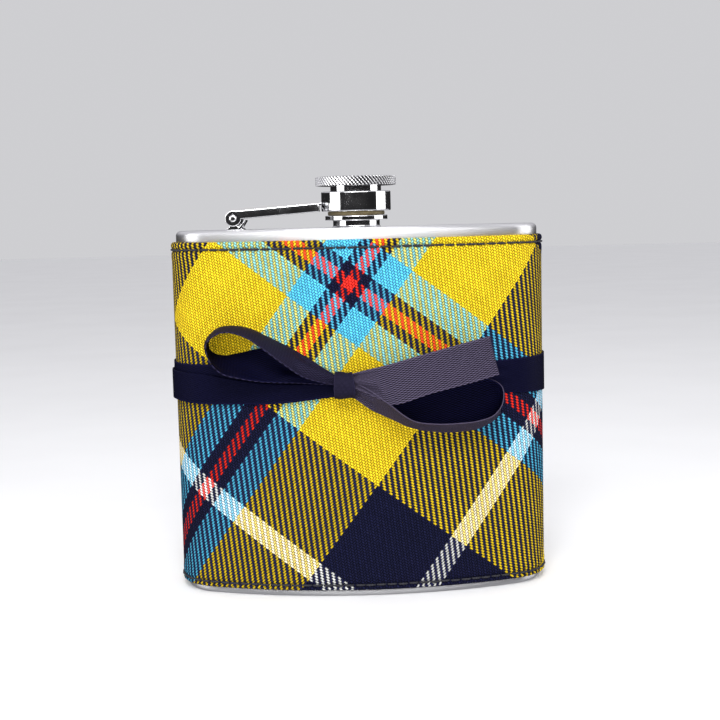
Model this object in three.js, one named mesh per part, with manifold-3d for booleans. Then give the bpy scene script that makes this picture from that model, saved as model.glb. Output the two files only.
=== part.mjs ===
// A pocket flask with a curved steel body, a hinged captive screw cap, a sewn cloth sleeve
// and a ribbon tied round it. Millimetres, +Z up. The origin is the middle of the base.
// The flask curves round a vertical axis behind it, so its hollow back faces +Y.

import * as THREE from 'three';
import { mergeVertices } from 'three/addons/utils/BufferGeometryUtils.js';
import Module from 'manifold-3d';

// ---- Driving dimensions ----

const BODY_HEIGHT = 92.5;
const BEND_RADIUS = 101.5; // of the arc that runs along the middle of the body
const END_REACH = 35.2; // from the middle plane to the centre of each round end
const STEEL_HALF = 11.2; // half the thickness of the steel body
const WALL = 0.5;
const PLATE = 0.6; // thickness of the two end plates
const RIM_RADIUS = 1.2;
const SKIRT = 4; // depth of an end plate's pressed edge

const NECK_RADIUS = 5.9;
const NECK_HEIGHT = 1.85;
const FLANGE_RADIUS = 7.85;
const FLANGE_TOP = 3;
const THREAD_RADIUS = 5.55; // over the crests of the spout's thread
const SPOUT_TOP = 7;
const SPOUT_BORE = 4.2;
const SPOUT_CHAMFER = 0.4;
const SPIGOT_RADIUS = 4.8;
const SPIGOT_DEPTH = 1.2;
const GASKET_RADIUS = 7.2;

const CAP_BORE = 5.85;
const BARREL_RADIUS = 6.4;
const BARREL_BOTTOM = 4.2; // above the top plate, like every height of the neck and the cap
const BARREL_TOP = 10.4;
const BARREL_FLANGE_RADIUS = 7.6;
const BARREL_FLANGE = 0.9;
const KNOB_RADIUS = 10.15;
const KNOB_TOP = 12.7;
const KNOB_BEVEL = 0.25;
const KNOB_SOCKET_RADIUS = 4.5;
const KNOB_SOCKET_DEPTH = 1.5;
const SEAL_THICKNESS = 0.8;
const SEAL_RADIUS = 5.6;

const COLLAR_RADIUS = 8.75;
const COLLAR_BOTTOM = 4.1;
const COLLAR_TOP = 9;
const COLLAR_LIP = 0.6; // the cap's flange stops against it from below
const COLLAR_COUNTERBORE = 7.8;
const COLLAR_LIP_BORE = 6.6;
const COLLAR_BEVEL = 0.3;

const PIVOT_X = -30.8;
const PIVOT_HEIGHT = 2.93;
const PIN_RADIUS = 0.7;
const PIN_HOLE = 0.78;
const PIN_HEAD_RADIUS = 1.05;
const PIN_HEAD_HEIGHT = 0.4;
const PIN_HEAD_TAPER = 0.25;
const LUG_RADIUS = 2;
const LUG_CLEARANCE = 0.4; // from a lug to the channel's top sheet
const ARM_WIDTH = 10;
const ARM_SHEET = 0.6;
const ARM_TILT = THREE.MathUtils.degToRad(4);
const ARM_TOP = 1.85; // of the arm's channel, above the pin's axis
const ARM_BOTTOM = -0.3;
const ARM_REACH = 21.6; // from the pin's axis to the channel's open end
const TONGUE_HALF = 2.5;
const KNUCKLE_RADIUS = 1.7;
const KNUCKLE_PLAY = 0.2; // from the knuckle's end to the arm's side wall
const FOOT_HALF = 1.8;
const FOOT_THICKNESS = 0.5;
const BRACKET_WEB_HALF = 0.8;

const SLEEVE_BOTTOM = 1.9;
const SLEEVE_TOP = 89.7;
const SLEEVE_INSIDE = 11.8; // these four are distances from the middle of the body
const SLEEVE_OUTSIDE = 12.4;
const HEM_INSIDE = 11.3;
const HEM_OUTSIDE = 11.7;
const HEM_DEPTH = 8;
const SEAM_HALF = 5;
const STITCH_INSET = 1.95; // from the sleeve's edge to the line of stitches
const THREAD_HALF = 0.16;

const RIBBON_WIDTH = 10;
const RIBBON_MIDDLE = 54.4;
const BAND_INSIDE = 12.5;
const BAND_OUTSIDE = 12.85;

const GAP = 0.1; // between pieces that lie against each other

// ---- Materials ----

function material(color, roughness, metalness) {
  return new THREE.MeshStandardMaterial({ color, roughness, metalness });
}

const brushedSteel = material('#c9c9cc', 0.34, 1);
const polishedSteel = material('#dcdde0', 0.12, 1);
const rubber = material('#cfc3a0', 0.55, 0);
const tartan = material('#a8951c', 0.9, 0);
const lining = material('#1b1b24', 0.9, 0);
const darkThread = material('#101018', 0.8, 0);
const satin = material('#14141c', 0.45, 0);

// ---- Solids ----

const wasm = await Module();
wasm.setup();

function toSolid(geometry) {
  geometry.deleteAttribute('normal');
  geometry.deleteAttribute('uv');
  const merged = mergeVertices(geometry, 1e-4);
  return new wasm.Manifold(new wasm.Mesh({
    numProp: 3,
    vertProperties: merged.attributes.position.array,
    triVerts: new Uint32Array(merged.index.array),
  }));
}

function toGeometry(solid) {
  const { vertProperties, triVerts } = solid.getMesh();
  return meshGeometry(vertProperties, triVerts);
}

function meshGeometry(positions, indices) {
  const geometry = new THREE.BufferGeometry();
  geometry.setAttribute('position', new THREE.BufferAttribute(new Float32Array(positions), 3));
  geometry.setIndex(new THREE.BufferAttribute(new Uint32Array(indices), 1));
  geometry.computeVertexNormals();
  return geometry;
}

// A turned piece on the Z axis. The profile is a closed loop of [radius, height].
function turned(profile, segments = 32) {
  const points = [...profile, profile[0]].map(([radius, height]) => new THREE.Vector2(radius, height));
  return new THREE.LatheGeometry(points, segments).rotateX(Math.PI / 2);
}

// A rod along Y, centred on x and z.
function rodAlongY(radius, fromY, toY, x, z, segments = 20) {
  const rod = new THREE.CylinderGeometry(radius, radius, toY - fromY, segments);
  return rod.translate(x, (fromY + toY) / 2, z);
}

function block(fromX, toX, fromY, toY, fromZ, toZ) {
  const box = new THREE.BoxGeometry(toX - fromX, toY - fromY, toZ - fromZ);
  return box.translate((fromX + toX) / 2, (fromY + toY) / 2, (fromZ + toZ) / 2);
}

// ---- The body's plan: a bent bar with round ends ----

const END_ANGLE = Math.asin(END_REACH / BEND_RADIUS);
const FACE_STEPS = 12;
const END_STEPS = 10;

// The outline of the plan at a distance from its middle line, anticlockwise from above.
function plan(distance) {
  const points = [];
  const arc = (centreX, centreY, radius, from, to, steps) => {
    for (let step = 0; step < steps; step += 1) {
      const angle = from + ((to - from) * step) / steps;
      points.push([centreX + radius * Math.cos(angle), centreY + radius * Math.sin(angle)]);
    }
  };
  const quarter = Math.PI / 2;
  const endX = END_REACH;
  const endY = BEND_RADIUS * (1 - Math.cos(END_ANGLE));
  arc(0, BEND_RADIUS, BEND_RADIUS + distance, -quarter - END_ANGLE, -quarter + END_ANGLE, FACE_STEPS);
  arc(endX, endY, distance, -quarter + END_ANGLE, quarter + END_ANGLE, END_STEPS);
  arc(0, BEND_RADIUS, BEND_RADIUS - distance, -quarter + END_ANGLE, -quarter - END_ANGLE, FACE_STEPS);
  arc(-endX, endY, distance, quarter - END_ANGLE, 3 * quarter - END_ANGLE, END_STEPS);
  return points;
}

// A solid whose outline follows the plan at each level, given as [distance, height] from the bottom up.
function planSolid(levels) {
  const rings = levels.map(([distance]) => plan(distance));
  const size = rings[0].length;
  const positions = rings.flatMap((ring, level) => ring.flatMap(([x, y]) => [x, y, levels[level][1]]));
  const indices = [];
  for (let level = 0; level + 1 < levels.length; level += 1) {
    for (let i = 0; i < size; i += 1) {
      const a = level * size + i;
      const b = level * size + ((i + 1) % size);
      indices.push(a, b, b + size, a, b + size, a + size);
    }
  }
  const last = (levels.length - 1) * size;
  const outline = (ring) => ring.map(([x, y]) => new THREE.Vector2(x, y));
  for (const [a, b, c] of THREE.ShapeUtils.triangulateShape(outline(rings[0]), [])) {
    indices.push(a, c, b);
  }
  for (const [a, b, c] of THREE.ShapeUtils.triangulateShape(outline(rings.at(-1)), [])) {
    indices.push(last + a, last + b, last + c);
  }
  return meshGeometry(positions, indices);
}

// A ring that runs round the plan, from an inner to an outer distance and from a lower to a higher level.
function planRing(inside, outside, bottom, top) {
  const profile = [[inside, bottom], [outside, bottom], [outside, top], [inside, top]];
  const corners = profile.map(([distance, z]) => plan(distance).map(([x, y]) => [x, y, z]));
  const size = corners[0].length;
  const indices = [];
  for (let side = 0; side < corners.length; side += 1) {
    const here = side * size;
    const there = ((side + 1) % corners.length) * size;
    for (let i = 0; i < size; i += 1) {
      const next = (i + 1) % size;
      indices.push(here + i, here + next, there + next, here + i, there + next, there + i);
    }
  }
  return meshGeometry(corners.flat(2), indices);
}

// ---- Steel body ----

function bodyShell() {
  return planRing(STEEL_HALF - WALL, STEEL_HALF, SKIRT + GAP, BODY_HEIGHT - SKIRT - GAP);
}

// A pressed cup with a rounded rim, its flat side up and its skirt down.
function platePressing() {
  const rim = [0, 1, 2, 3].map((step) => {
    const angle = (step / 3) * (Math.PI / 2);
    const inset = RIM_RADIUS * (1 - Math.cos(angle));
    return [STEEL_HALF - inset, RIM_RADIUS * Math.sin(angle) - RIM_RADIUS];
  });
  const outside = toSolid(planSolid([[STEEL_HALF, -SKIRT], ...rim]));
  const innerHalf = STEEL_HALF - WALL;
  const inside = toSolid(planSolid([
    [innerHalf, -SKIRT - 1],
    [innerHalf, -RIM_RADIUS],
    [innerHalf - RIM_RADIUS + PLATE, -PLATE],
  ]));
  return outside.subtract(inside);
}

function topPlate() {
  const hole = new THREE.CylinderGeometry(SPIGOT_RADIUS + GAP, SPIGOT_RADIUS + GAP, 4, 32);
  const cut = platePressing().subtract(toSolid(hole.rotateX(Math.PI / 2)));
  return toGeometry(cut.translate([0, 0, BODY_HEIGHT]));
}

function bottomPlate() {
  return toGeometry(platePressing().mirror([0, 0, 1]));
}

// ---- Neck ----

function spout() {
  return turned([
    [SPOUT_BORE, -SPIGOT_DEPTH],
    [SPIGOT_RADIUS, -SPIGOT_DEPTH],
    [SPIGOT_RADIUS, 0],
    [NECK_RADIUS, 0],
    [NECK_RADIUS, NECK_HEIGHT],
    [FLANGE_RADIUS, NECK_HEIGHT],
    [FLANGE_RADIUS, FLANGE_TOP],
    [THREAD_RADIUS, FLANGE_TOP],
    [THREAD_RADIUS, SPOUT_TOP - SPOUT_CHAMFER],
    [THREAD_RADIUS - SPOUT_CHAMFER, SPOUT_TOP],
    [SPOUT_BORE, SPOUT_TOP],
  ]);
}

function spoutGasket() {
  const bottom = FLANGE_TOP + GAP / 2;
  const top = COLLAR_BOTTOM - GAP;
  return turned([
    [THREAD_RADIUS + GAP, bottom],
    [GASKET_RADIUS, bottom],
    [GASKET_RADIUS, top],
    [THREAD_RADIUS + GAP, top],
  ]);
}

// ---- Hinge ----

// A knuckle on a low foot that is brazed to the top plate.
function hingeBracket() {
  const knuckleEnd = ARM_WIDTH / 2 - ARM_SHEET - KNUCKLE_PLAY;
  const knuckle = rodAlongY(KNUCKLE_RADIUS, -knuckleEnd, knuckleEnd, 0, PIVOT_HEIGHT);
  const foot = block(-FOOT_HALF, FOOT_HALF, -knuckleEnd, knuckleEnd, 0, FOOT_THICKNESS);
  const webStart = FOOT_THICKNESS / 2;
  const web = block(-BRACKET_WEB_HALF, BRACKET_WEB_HALF, -knuckleEnd, knuckleEnd, webStart, PIVOT_HEIGHT);
  const hole = rodAlongY(PIN_HOLE, -ARM_WIDTH, ARM_WIDTH, 0, PIVOT_HEIGHT);
  const joined = toSolid(knuckle).add(toSolid(foot)).add(toSolid(web));
  return toGeometry(joined.subtract(toSolid(hole)));
}

// A rivet with a low head at each end.
function hingePin() {
  const lugFace = ARM_WIDTH / 2 + GAP / 2;
  const headEnd = lugFace + PIN_HEAD_HEIGHT;
  const headFace = PIN_HEAD_RADIUS - PIN_HEAD_TAPER;
  return turned([
    [0, -headEnd],
    [headFace, -headEnd],
    [PIN_HEAD_RADIUS, -lugFace],
    [PIN_RADIUS, -lugFace],
    [PIN_RADIUS, lugFace],
    [PIN_HEAD_RADIUS, lugFace],
    [headFace, headEnd],
    [0, headEnd],
  ], 20).rotateX(Math.PI / 2);
}

// A folded channel, open below, with a round lug on each side wall and a tongue to the collar.
function hingeArm() {
  const half = ARM_WIDTH / 2;
  const webStart = LUG_RADIUS + LUG_CLEARANCE;
  const collarFace = -PIVOT_X - COLLAR_RADIUS - GAP;
  const web = block(webStart, ARM_REACH, -half, half, ARM_TOP - ARM_SHEET, ARM_TOP);
  const tongue = block(webStart, collarFace, -TONGUE_HALF, TONGUE_HALF, ARM_TOP - ARM_SHEET, ARM_TOP);
  let arm = toSolid(web).add(toSolid(tongue));
  for (const side of [-half, half - ARM_SHEET]) {
    const wall = block(0, ARM_REACH, side, side + ARM_SHEET, ARM_BOTTOM, ARM_TOP);
    const lug = rodAlongY(LUG_RADIUS, side, side + ARM_SHEET, 0, 0);
    arm = arm.add(toSolid(wall)).add(toSolid(lug));
  }
  const hole = rodAlongY(PIN_HOLE, -ARM_WIDTH, ARM_WIDTH, 0, 0);
  return toGeometry(arm.subtract(toSolid(hole)));
}

function captiveCollar() {
  return turned([
    [COLLAR_COUNTERBORE, COLLAR_BOTTOM],
    [COLLAR_RADIUS - COLLAR_BEVEL, COLLAR_BOTTOM],
    [COLLAR_RADIUS, COLLAR_BOTTOM + COLLAR_BEVEL],
    [COLLAR_RADIUS, COLLAR_TOP - COLLAR_BEVEL],
    [COLLAR_RADIUS - COLLAR_BEVEL, COLLAR_TOP],
    [COLLAR_LIP_BORE, COLLAR_TOP],
    [COLLAR_LIP_BORE, COLLAR_TOP - COLLAR_LIP],
    [COLLAR_COUNTERBORE, COLLAR_TOP - COLLAR_LIP],
  ]);
}

// ---- Cap ----

const SEAL_BOTTOM = SPOUT_TOP + GAP;
const SEAL_TOP = SEAL_BOTTOM + SEAL_THICKNESS;

function capBarrel() {
  const flangeTop = BARREL_BOTTOM + BARREL_FLANGE;
  const peg = KNOB_SOCKET_RADIUS - GAP;
  const pegTop = BARREL_TOP + KNOB_SOCKET_DEPTH - GAP;
  return turned([
    [CAP_BORE, BARREL_BOTTOM],
    [BARREL_FLANGE_RADIUS, BARREL_BOTTOM],
    [BARREL_FLANGE_RADIUS, flangeTop],
    [BARREL_RADIUS, flangeTop],
    [BARREL_RADIUS, BARREL_TOP - GAP],
    [peg, BARREL_TOP - GAP],
    [peg, pegTop],
    [0, pegTop],
    [0, SEAL_TOP + GAP],
    [CAP_BORE, SEAL_TOP + GAP],
  ]);
}

function capKnob() {
  const socketTop = BARREL_TOP + KNOB_SOCKET_DEPTH;
  return turned([
    [KNOB_SOCKET_RADIUS, BARREL_TOP],
    [KNOB_RADIUS - KNOB_BEVEL, BARREL_TOP],
    [KNOB_RADIUS, BARREL_TOP + KNOB_BEVEL],
    [KNOB_RADIUS, KNOB_TOP - KNOB_BEVEL],
    [KNOB_RADIUS - KNOB_BEVEL, KNOB_TOP],
    [0, KNOB_TOP],
    [0, socketTop],
    [KNOB_SOCKET_RADIUS, socketTop],
  ], 48);
}

function capSeal() {
  const seal = new THREE.CylinderGeometry(SEAL_RADIUS, SEAL_RADIUS, SEAL_THICKNESS, 32);
  return seal.rotateX(Math.PI / 2).translate(0, 0, (SEAL_BOTTOM + SEAL_TOP) / 2);
}

// ---- Cloth sleeve ----

function fabricSleeve() {
  return planRing(SLEEVE_INSIDE, SLEEVE_OUTSIDE, SLEEVE_BOTTOM, SLEEVE_TOP);
}

// The cloth's edge, turned in behind the sleeve.
function hem(bottom) {
  return planRing(HEM_INSIDE, HEM_OUTSIDE, bottom, bottom + HEM_DEPTH);
}

// A line of stitches round the sleeve.
function stitchLine(height) {
  const inside = SLEEVE_OUTSIDE + GAP / 2;
  return planRing(inside, inside + 2 * THREAD_HALF, height - THREAD_HALF, height + THREAD_HALF);
}

// The two cloth ends, turned in behind the middle of the back.
function backSeam() {
  const bottom = SLEEVE_BOTTOM + HEM_DEPTH + GAP;
  const top = SLEEVE_TOP - HEM_DEPTH - GAP;
  const whole = toSolid(planRing(HEM_INSIDE, HEM_OUTSIDE, bottom, top));
  const slot = toSolid(block(-SEAM_HALF, SEAM_HALF, 0, 2 * SLEEVE_OUTSIDE, 0, BODY_HEIGHT));
  return toGeometry(whole.intersect(slot));
}

// ---- Ribbon ----

// A stretch of ribbon that lies on the front of the sleeve, with square edges.
// Each station gives the ribbon's right and left edges, seen along its run, as [along the front, height],
// and the least and greatest distance from the body's middle line. The run is smoothed between stations.
function ribbonRun(stations, steps) {
  const asVector = (point, distance) => new THREE.Vector3(point[0], point[1], distance);
  const curves = [
    stations.map(([right, , inside]) => asVector(right, inside)),
    stations.map(([right, , , outside]) => asVector(right, outside)),
    stations.map(([, left, , outside]) => asVector(left, outside)),
    stations.map(([, left, inside]) => asVector(left, inside)),
  ].map((points) => new THREE.CatmullRomCurve3(points, false, 'centripetal'));
  const positions = [];
  for (let step = 0; step <= steps; step += 1) {
    for (const curve of curves) {
      const point = curve.getPoint(step / steps);
      const angle = point.x / (BEND_RADIUS + SLEEVE_OUTSIDE);
      const radius = BEND_RADIUS + point.z;
      positions.push(radius * Math.sin(angle), BEND_RADIUS - radius * Math.cos(angle), point.y);
    }
  }
  const indices = [0, 1, 2, 0, 2, 3];
  for (let step = 0; step < steps; step += 1) {
    for (let edge = 0; edge < 4; edge += 1) {
      const a = 4 * step + edge;
      const b = 4 * step + ((edge + 1) % 4);
      indices.push(a, a + 4, b + 4, a, b + 4, b);
    }
  }
  const last = 4 * steps;
  indices.push(last, last + 2, last + 1, last, last + 3, last + 2);
  return meshGeometry(positions, indices);
}

function ribbonBand() {
  const half = RIBBON_WIDTH / 2;
  return planRing(BAND_INSIDE, BAND_OUTSIDE, RIBBON_MIDDLE - half, RIBBON_MIDDLE + half);
}

const KNOT_LEFT = -7.2;
const KNOT_RIGHT = -1.8;
const LEFT_START = KNOT_LEFT - 0.6; // where the loops and tails leave the knot
const RIGHT_START = KNOT_RIGHT + 0.6;
const BOW_INSIDE = BAND_OUTSIDE + 0.6;
const BOW_OUTSIDE = 18;
const TAIL_THICKNESS = 0.6;

function ribbonKnot() {
  const inside = BAND_OUTSIDE + GAP;
  return ribbonRun([
    [[KNOT_LEFT, 51.8], [KNOT_LEFT, 56], inside, BOW_OUTSIDE - 1],
    [[-4.5, 50.7], [-4.5, 57], inside, BOW_OUTSIDE],
    [[KNOT_RIGHT, 51.4], [KNOT_RIGHT, 56.2], inside, BOW_OUTSIDE - 1],
  ], 4);
}

// Out along the sleeve, up round the open end and back over itself.
function ribbonLoopLeft() {
  const inside = BOW_INSIDE;
  return ribbonRun([
    [[LEFT_START, 55], [LEFT_START, 52.6], inside, inside + 0.6],
    [[-18, 61.3], [-17, 53.4], inside, inside + 0.7],
    [[-28, 60.3], [-27, 54.6], inside, inside + 1.5],
    [[-34.5, 61], [-36, 57.8], inside, BOW_OUTSIDE],
    [[-37.9, 64], [-39.6, 64], inside, 20.5],
    [[-35.6, 66.4], [-36.6, 68], inside + 0.5, 21],
    [[-30, 67], [-30.6, 69], inside + 1, 21],
    [[-22, 63.6], [-21, 66.4], inside + 1.6, 19.5],
    [[-14, 57.8], [-12, 61], inside + 1.4, BOW_OUTSIDE],
    [[LEFT_START, 55.4], [LEFT_START, 57], inside + 1.2, BOW_OUTSIDE - 1],
  ], 36);
}

// Out and down in front, round the end and back along the sleeve.
function ribbonLoopRight() {
  const inside = BOW_INSIDE;
  return ribbonRun([
    [[RIGHT_START, 51.6], [RIGHT_START, 54.6], inside + 1, BOW_OUTSIDE - 0.5],
    [[8.5, 46.4], [10.5, 49.2], inside + 1, BOW_OUTSIDE - 0.5],
    [[15.5, 42.5], [17, 44.8], inside + 0.6, BOW_OUTSIDE],
    [[23, 40.8], [24, 43], inside, BOW_OUTSIDE],
    [[30.5, 41.8], [30, 43.8], inside, BOW_OUTSIDE],
    [[35.5, 45.2], [34, 47], inside, BOW_OUTSIDE],
    [[36.6, 51], [34.8, 50.4], inside, BOW_OUTSIDE - 1],
    [[33, 56], [30, 48], inside, inside + 0.7],
    [[18, 56.4], [18, 47], inside, inside + 0.6],
    [[6, 55.6], [6, 50.4], inside, inside + 0.6],
    [[RIGHT_START, 54.6], [RIGHT_START, 52.6], inside, inside + 0.6],
  ], 36);
}

function ribbonTailRight() {
  const inside = BOW_OUTSIDE + 2 * GAP;
  const outside = inside + TAIL_THICKNESS;
  return ribbonRun([
    [[RIGHT_START, 53], [RIGHT_START, 56.4], inside, outside],
    [[8.7, 49.2], [6.5, 58.5], inside, outside],
    [[22, 52.5], [19.4, 62], inside, outside],
    [[34.8, 55.7], [31.9, 65.3], inside, outside],
  ], 12);
}

// The short end that lies on the band, behind the left loop.
function ribbonTailLeft() {
  const inside = BAND_OUTSIDE + GAP;
  const outside = inside + 0.35;
  return ribbonRun([
    [[LEFT_START, 56], [LEFT_START, 52], inside, outside],
    [[-18, 54.6], [-18, 50.2], inside, outside],
    [[-33, 55.6], [-33, 50], inside, outside],
    [[-42, 56.9], [-42, 50], inside, outside],
  ], 14);
}

// ---- Assembly ----

function named(name, geometry, surface) {
  const mesh = new THREE.Mesh(geometry, surface);
  mesh.name = name;
  return mesh;
}

function steelBody() {
  return new THREE.Group().add(
    named('body_shell', bodyShell(), brushedSteel),
    named('top_plate', topPlate(), brushedSteel),
    named('bottom_plate', bottomPlate(), brushedSteel),
  );
}

function neckAndCap() {
  const group = new THREE.Group();
  group.position.z = BODY_HEIGHT;
  return group.add(
    named('spout', spout(), polishedSteel),
    named('spout_gasket', spoutGasket(), rubber),
    named('captive_collar', captiveCollar(), polishedSteel),
    named('cap_barrel', capBarrel(), polishedSteel),
    named('cap_knob', capKnob(), polishedSteel),
    named('cap_seal', capSeal(), rubber),
  );
}

function hinge() {
  const bracket = named('hinge_bracket', hingeBracket(), polishedSteel);
  const pin = named('hinge_pin', hingePin(), polishedSteel);
  pin.position.z = PIVOT_HEIGHT;
  const arm = named('hinge_arm', hingeArm(), polishedSteel);
  arm.position.z = PIVOT_HEIGHT;
  arm.rotation.y = -ARM_TILT;
  const group = new THREE.Group().add(bracket, pin, arm);
  group.position.set(PIVOT_X, 0, BODY_HEIGHT);
  return group;
}

function sleeve() {
  return new THREE.Group().add(
    named('fabric_sleeve', fabricSleeve(), tartan),
    named('top_hem', hem(SLEEVE_TOP - HEM_DEPTH), lining),
    named('bottom_hem', hem(SLEEVE_BOTTOM), lining),
    named('back_seam', backSeam(), lining),
    named('top_stitching', stitchLine(SLEEVE_TOP - STITCH_INSET), darkThread),
    named('bottom_stitching', stitchLine(SLEEVE_BOTTOM + STITCH_INSET), darkThread),
  );
}

function ribbon() {
  return new THREE.Group().add(
    named('ribbon_band', ribbonBand(), satin),
    named('ribbon_knot', ribbonKnot(), satin),
    named('ribbon_loop_left', ribbonLoopLeft(), satin),
    named('ribbon_loop_right', ribbonLoopRight(), satin),
    named('ribbon_tail_left', ribbonTailLeft(), satin),
    named('ribbon_tail_right', ribbonTailRight(), satin),
  );
}

const flask = new THREE.Group().add(steelBody(), neckAndCap(), hinge(), sleeve(), ribbon());

export default flask;
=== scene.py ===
"""A pocket flask with a screw cap on a hinged arm, a sewn tartan sleeve and a ribbon bow.

Shapes are worked out in millimetres and made in metres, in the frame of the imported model.
A place on the sleeve is given as (along, out, height): along runs round the flask from the middle
of the front, to the right, on the sleeve's face, and out is the distance from that face.
"""

import math
import random

import bmesh
import bpy
import numpy as np
from mathutils import Matrix


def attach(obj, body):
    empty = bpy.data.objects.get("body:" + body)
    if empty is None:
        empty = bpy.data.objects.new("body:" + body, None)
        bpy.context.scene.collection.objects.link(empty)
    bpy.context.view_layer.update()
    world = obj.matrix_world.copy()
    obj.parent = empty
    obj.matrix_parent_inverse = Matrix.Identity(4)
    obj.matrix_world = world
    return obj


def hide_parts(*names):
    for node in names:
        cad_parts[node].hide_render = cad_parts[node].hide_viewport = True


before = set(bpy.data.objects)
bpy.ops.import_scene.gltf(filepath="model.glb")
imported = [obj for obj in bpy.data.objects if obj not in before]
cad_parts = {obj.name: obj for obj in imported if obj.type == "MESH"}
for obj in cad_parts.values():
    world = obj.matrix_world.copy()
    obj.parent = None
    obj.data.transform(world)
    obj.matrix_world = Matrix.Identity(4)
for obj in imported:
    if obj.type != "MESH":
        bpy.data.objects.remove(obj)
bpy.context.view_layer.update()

MM = 0.001
SEED = 7
SHARP = math.radians(35)  # an edge that turns more than this stays sharp

# ---- Driving dimensions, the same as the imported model's ----

BODY_HEIGHT = 92.5
BEND_RADIUS = 101.5
END_REACH = 35.2
STEEL_HALF = 11.2
WALL = 0.5
PLATE = 0.6
RIM_RADIUS = 1.2
SKIRT = 4.0

SLEEVE_BOTTOM = 1.9
SLEEVE_TOP = 89.7
SLEEVE_INSIDE = 11.8
SLEEVE_OUTSIDE = 12.4
HEM_INSIDE = 11.3
HEM_DEPTH = 8.0

RIBBON_WIDTH = 10.0
RIBBON_THICKNESS = 0.24

PIVOT_X = -30.8
PIVOT_Z = BODY_HEIGHT + 2.93

END_ANGLE = math.asin(END_REACH / BEND_RADIUS)
FRONT_HALF = (BEND_RADIUS + SLEEVE_OUTSIDE) * END_ANGLE
END_LENGTH = math.pi * SLEEVE_OUTSIDE
BACK_LENGTH = 2 * (BEND_RADIUS - SLEEVE_OUTSIDE) * END_ANGLE
GIRTH = 2 * FRONT_HALF + 2 * END_LENGTH + BACK_LENGTH


# ---- Places on the body ----

def place(along, distance, height):
    """The point at a distance from the body's middle line. along is measured on the sleeve's face."""
    along = (along + GIRTH / 2) % GIRTH - GIRTH / 2
    side = 1 if along >= 0 else -1
    run = abs(along)
    if run <= FRONT_HALF:
        turn = run / (BEND_RADIUS + SLEEVE_OUTSIDE)
        base_x = BEND_RADIUS * math.sin(turn)
        base_y = BEND_RADIUS * (1 - math.cos(turn))
    elif run <= FRONT_HALF + END_LENGTH:
        turn = END_ANGLE + (run - FRONT_HALF) / SLEEVE_OUTSIDE
        base_x = END_REACH
        base_y = BEND_RADIUS * (1 - math.cos(END_ANGLE))
    else:
        back = (run - FRONT_HALF - END_LENGTH) / (BEND_RADIUS - SLEEVE_OUTSIDE)
        turn = math.pi + END_ANGLE - back
        base_x = BEND_RADIUS * math.sin(END_ANGLE - back)
        base_y = BEND_RADIUS * (1 - math.cos(END_ANGLE - back))
    x = base_x + distance * math.sin(turn)
    y = base_y - distance * math.cos(turn)
    return (side * x, y, height)


def on_sleeve(along, out, height):
    return place(along, SLEEVE_OUTSIDE + out, height)


def alongs(step):
    """Stations all round the flask, from the middle of the back."""
    count = round(GIRTH / step)
    return [-GIRTH / 2 + GIRTH * i / count for i in range(count)]


# ---- Meshes ----

def skin(rings, closed_rings=True, joined_ends=False):
    """Points and faces over rings of equal size."""
    size = len(rings[0])
    points = [point for ring in rings for point in ring]
    faces = []
    for row in range(len(rings) if joined_ends else len(rings) - 1):
        here = row * size
        there = ((row + 1) % len(rings)) * size
        for i in range(size if closed_rings else size - 1):
            j = (i + 1) % size
            faces.append((here + i, here + j, there + j, there + i))
    return points, faces


def tube(rings):
    """A skin with both ends closed."""
    points, faces = skin(rings)
    size = len(rings[0])
    return points, faces + [tuple(range(size))[::-1], tuple(range(len(points) - size, len(points)))]


def round_flask(outline, step):
    """A closed ring round the flask. The outline is of (distance, height)."""
    rings = [[place(along, distance, height) for distance, height in outline] for along in alongs(step)]
    return skin(rings, joined_ends=True)


def joined(*parts):
    """Several (points, faces) as one."""
    points, faces = [], []
    for more_points, more_faces in parts:
        shift = len(points)
        points += more_points
        faces += [tuple(shift + i for i in face) for face in more_faces]
    return points, faces


def raw_object(name, points, faces):
    """A smooth object, its points given in millimetres."""
    mesh = bpy.data.meshes.new(name)
    mesh.from_pydata([[MM * c for c in point] for point in points], [], faces)
    mesh.shade_smooth()
    made = bpy.data.objects.new(name, mesh)
    bpy.context.scene.collection.objects.link(made)
    return made


def mesh_object(name, points, faces):
    """An object whose doubled points are merged, and whose faces look outward."""
    made = raw_object(name, points, faces)
    shape = bmesh.new()
    shape.from_mesh(made.data)
    bmesh.ops.remove_doubles(shape, verts=shape.verts, dist=0.002 * MM)
    bmesh.ops.recalc_face_normals(shape, faces=shape.faces)
    shape.to_mesh(made.data)
    shape.free()
    return made


def mapped(made, spots):
    """Gives a piece its cloth map, from one (u, v) in metres for each point."""
    layer = made.data.uv_layers.new(name="cloth")
    for loop in made.data.loops:
        layer.data[loop.index].uv = spots[loop.vertex_index]
    return made


def piece(made, material, slot, body, *nodes):
    """Gives an object its material and its body, and lets it stand for CAD nodes. The slot is not used."""
    made.data.materials.clear()
    made.data.materials.append(material)
    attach(made, body)
    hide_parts(*nodes)
    return made


def baked(made):
    """Applies an object's modifiers."""
    graph = bpy.context.evaluated_depsgraph_get()
    mesh = bpy.data.meshes.new_from_object(made.evaluated_get(graph))
    made.modifiers.clear()
    made.data = mesh
    return made


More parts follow.
